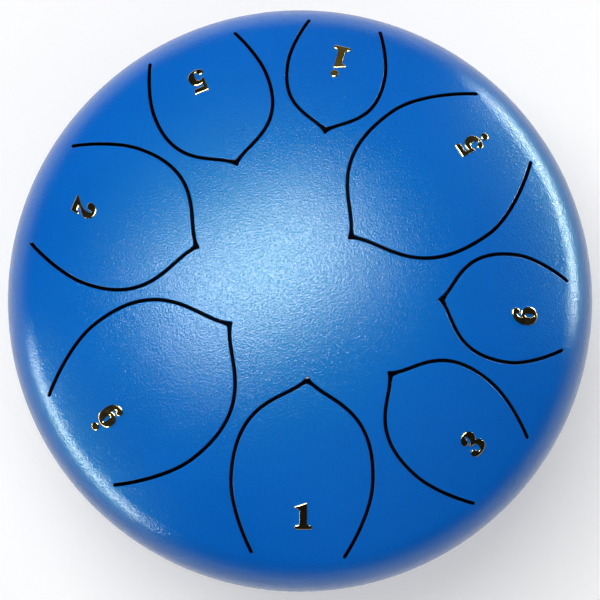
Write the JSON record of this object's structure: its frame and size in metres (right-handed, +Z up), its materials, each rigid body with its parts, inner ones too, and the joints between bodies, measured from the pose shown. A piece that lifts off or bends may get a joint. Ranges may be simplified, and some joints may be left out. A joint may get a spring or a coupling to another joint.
{
  "type": "steel tongue drum",
  "caption": "Lens-shaped steel tongue drum: two pressed half shells welded at the rim, leaf-shaped tongues cut in the top, raised numerals, rubber feet and a sound hole.",
  "frame": {"origin": "centre of the footprint, on the table surface that the feet stand on", "axes": "+Z up out of the crown, -Y towards the tongue numbered 1, +X to the right as that numeral is read"},
  "size_m": [0.1522, 0.1522, 0.0777],
  "materials": {
    "blue_enamel": "satin textured powder coat",
    "weld_enamel": "satin",
    "numeral_gold": "polished",
    "foot_rubber": "matt",
    "fastener_steel": "zinc plated"
  },
  "bodies": {
    "drum": {"upper_shell": "blue_enamel", "lower_shell": "blue_enamel", "seam_weld": "weld_enamel", "foot_front": "foot_rubber", "foot_left": "foot_rubber", "foot_right": "foot_rubber", "foot_screws": "fastener_steel", "foot_washers": "fastener_steel", "foot_nuts": "fastener_steel"},
    "tongue_low_5": {"tongue_low_5": "blue_enamel", "label_low_5": "numeral_gold"},
    "tongue_low_6": {"tongue_low_6": "blue_enamel", "label_low_6": "numeral_gold"},
    "tongue_1": {"tongue_1": "blue_enamel", "label_1": "numeral_gold"},
    "tongue_2": {"tongue_2": "blue_enamel", "label_2": "numeral_gold"},
    "tongue_3": {"tongue_3": "blue_enamel", "label_3": "numeral_gold"},
    "tongue_5": {"tongue_5": "blue_enamel", "label_5": "numeral_gold"},
    "tongue_6": {"tongue_6": "blue_enamel", "label_6": "numeral_gold"},
    "tongue_high_1": {"tongue_high_1": "blue_enamel", "label_high_1": "numeral_gold"}
  },
  "joints": [
    {"name": "bend_low_5", "type": "hinge", "parent": "drum", "child": "tongue_low_5", "pos_m": [0.05203, 0.04219, 0.06095], "axis": [0.6074, -0.7944, 0], "range_deg": [-0.5, 0.5], "stiffness_Nm_per_rad": 120},
    {"name": "bend_low_6", "type": "hinge", "parent": "drum", "child": "tongue_low_6", "pos_m": [-0.05496, -0.03747, 0.06109], "axis": [-0.5948, 0.8039, 0], "range_deg": [-0.5, 0.5], "stiffness_Nm_per_rad": 140},
    {"name": "bend_1", "type": "hinge", "parent": "drum", "child": "tongue_1", "pos_m": [-0.00051, -0.06621, 0.06132], "axis": [-0.9985, 0.0541, 0], "range_deg": [-0.5, 0.5], "stiffness_Nm_per_rad": 125},
    {"name": "bend_2", "type": "hinge", "parent": "drum", "child": "tongue_2", "pos_m": [-0.06331, 0.02512, 0.06023], "axis": [0.3778, 0.9259, 0], "range_deg": [-0.5, 0.5], "stiffness_Nm_per_rad": 145},
    {"name": "bend_3", "type": "hinge", "parent": "drum", "child": "tongue_3", "pos_m": [0.05048, -0.04521, 0.06055], "axis": [-0.6388, -0.7694, 0], "range_deg": [-0.5, 0.5], "stiffness_Nm_per_rad": 130},
    {"name": "bend_5", "type": "hinge", "parent": "drum", "child": "tongue_5", "pos_m": [-0.02768, 0.06312, 0.05978], "axis": [0.9391, 0.3437, 0], "range_deg": [-0.5, 0.5], "stiffness_Nm_per_rad": 140},
    {"name": "bend_6", "type": "hinge", "parent": "drum", "child": "tongue_6", "pos_m": [0.06698, -0.00599, 0.06088], "axis": [-0.0854, -0.9963, 0], "range_deg": [-0.5, 0.5], "stiffness_Nm_per_rad": 130},
    {"name": "bend_high_1", "type": "hinge", "parent": "drum", "child": "tongue_high_1", "pos_m": [0.0115, 0.06916, 0.05895], "axis": [0.9851, -0.1719, 0], "range_deg": [-0.5, 0.5], "stiffness_Nm_per_rad": 130}
  ]
}
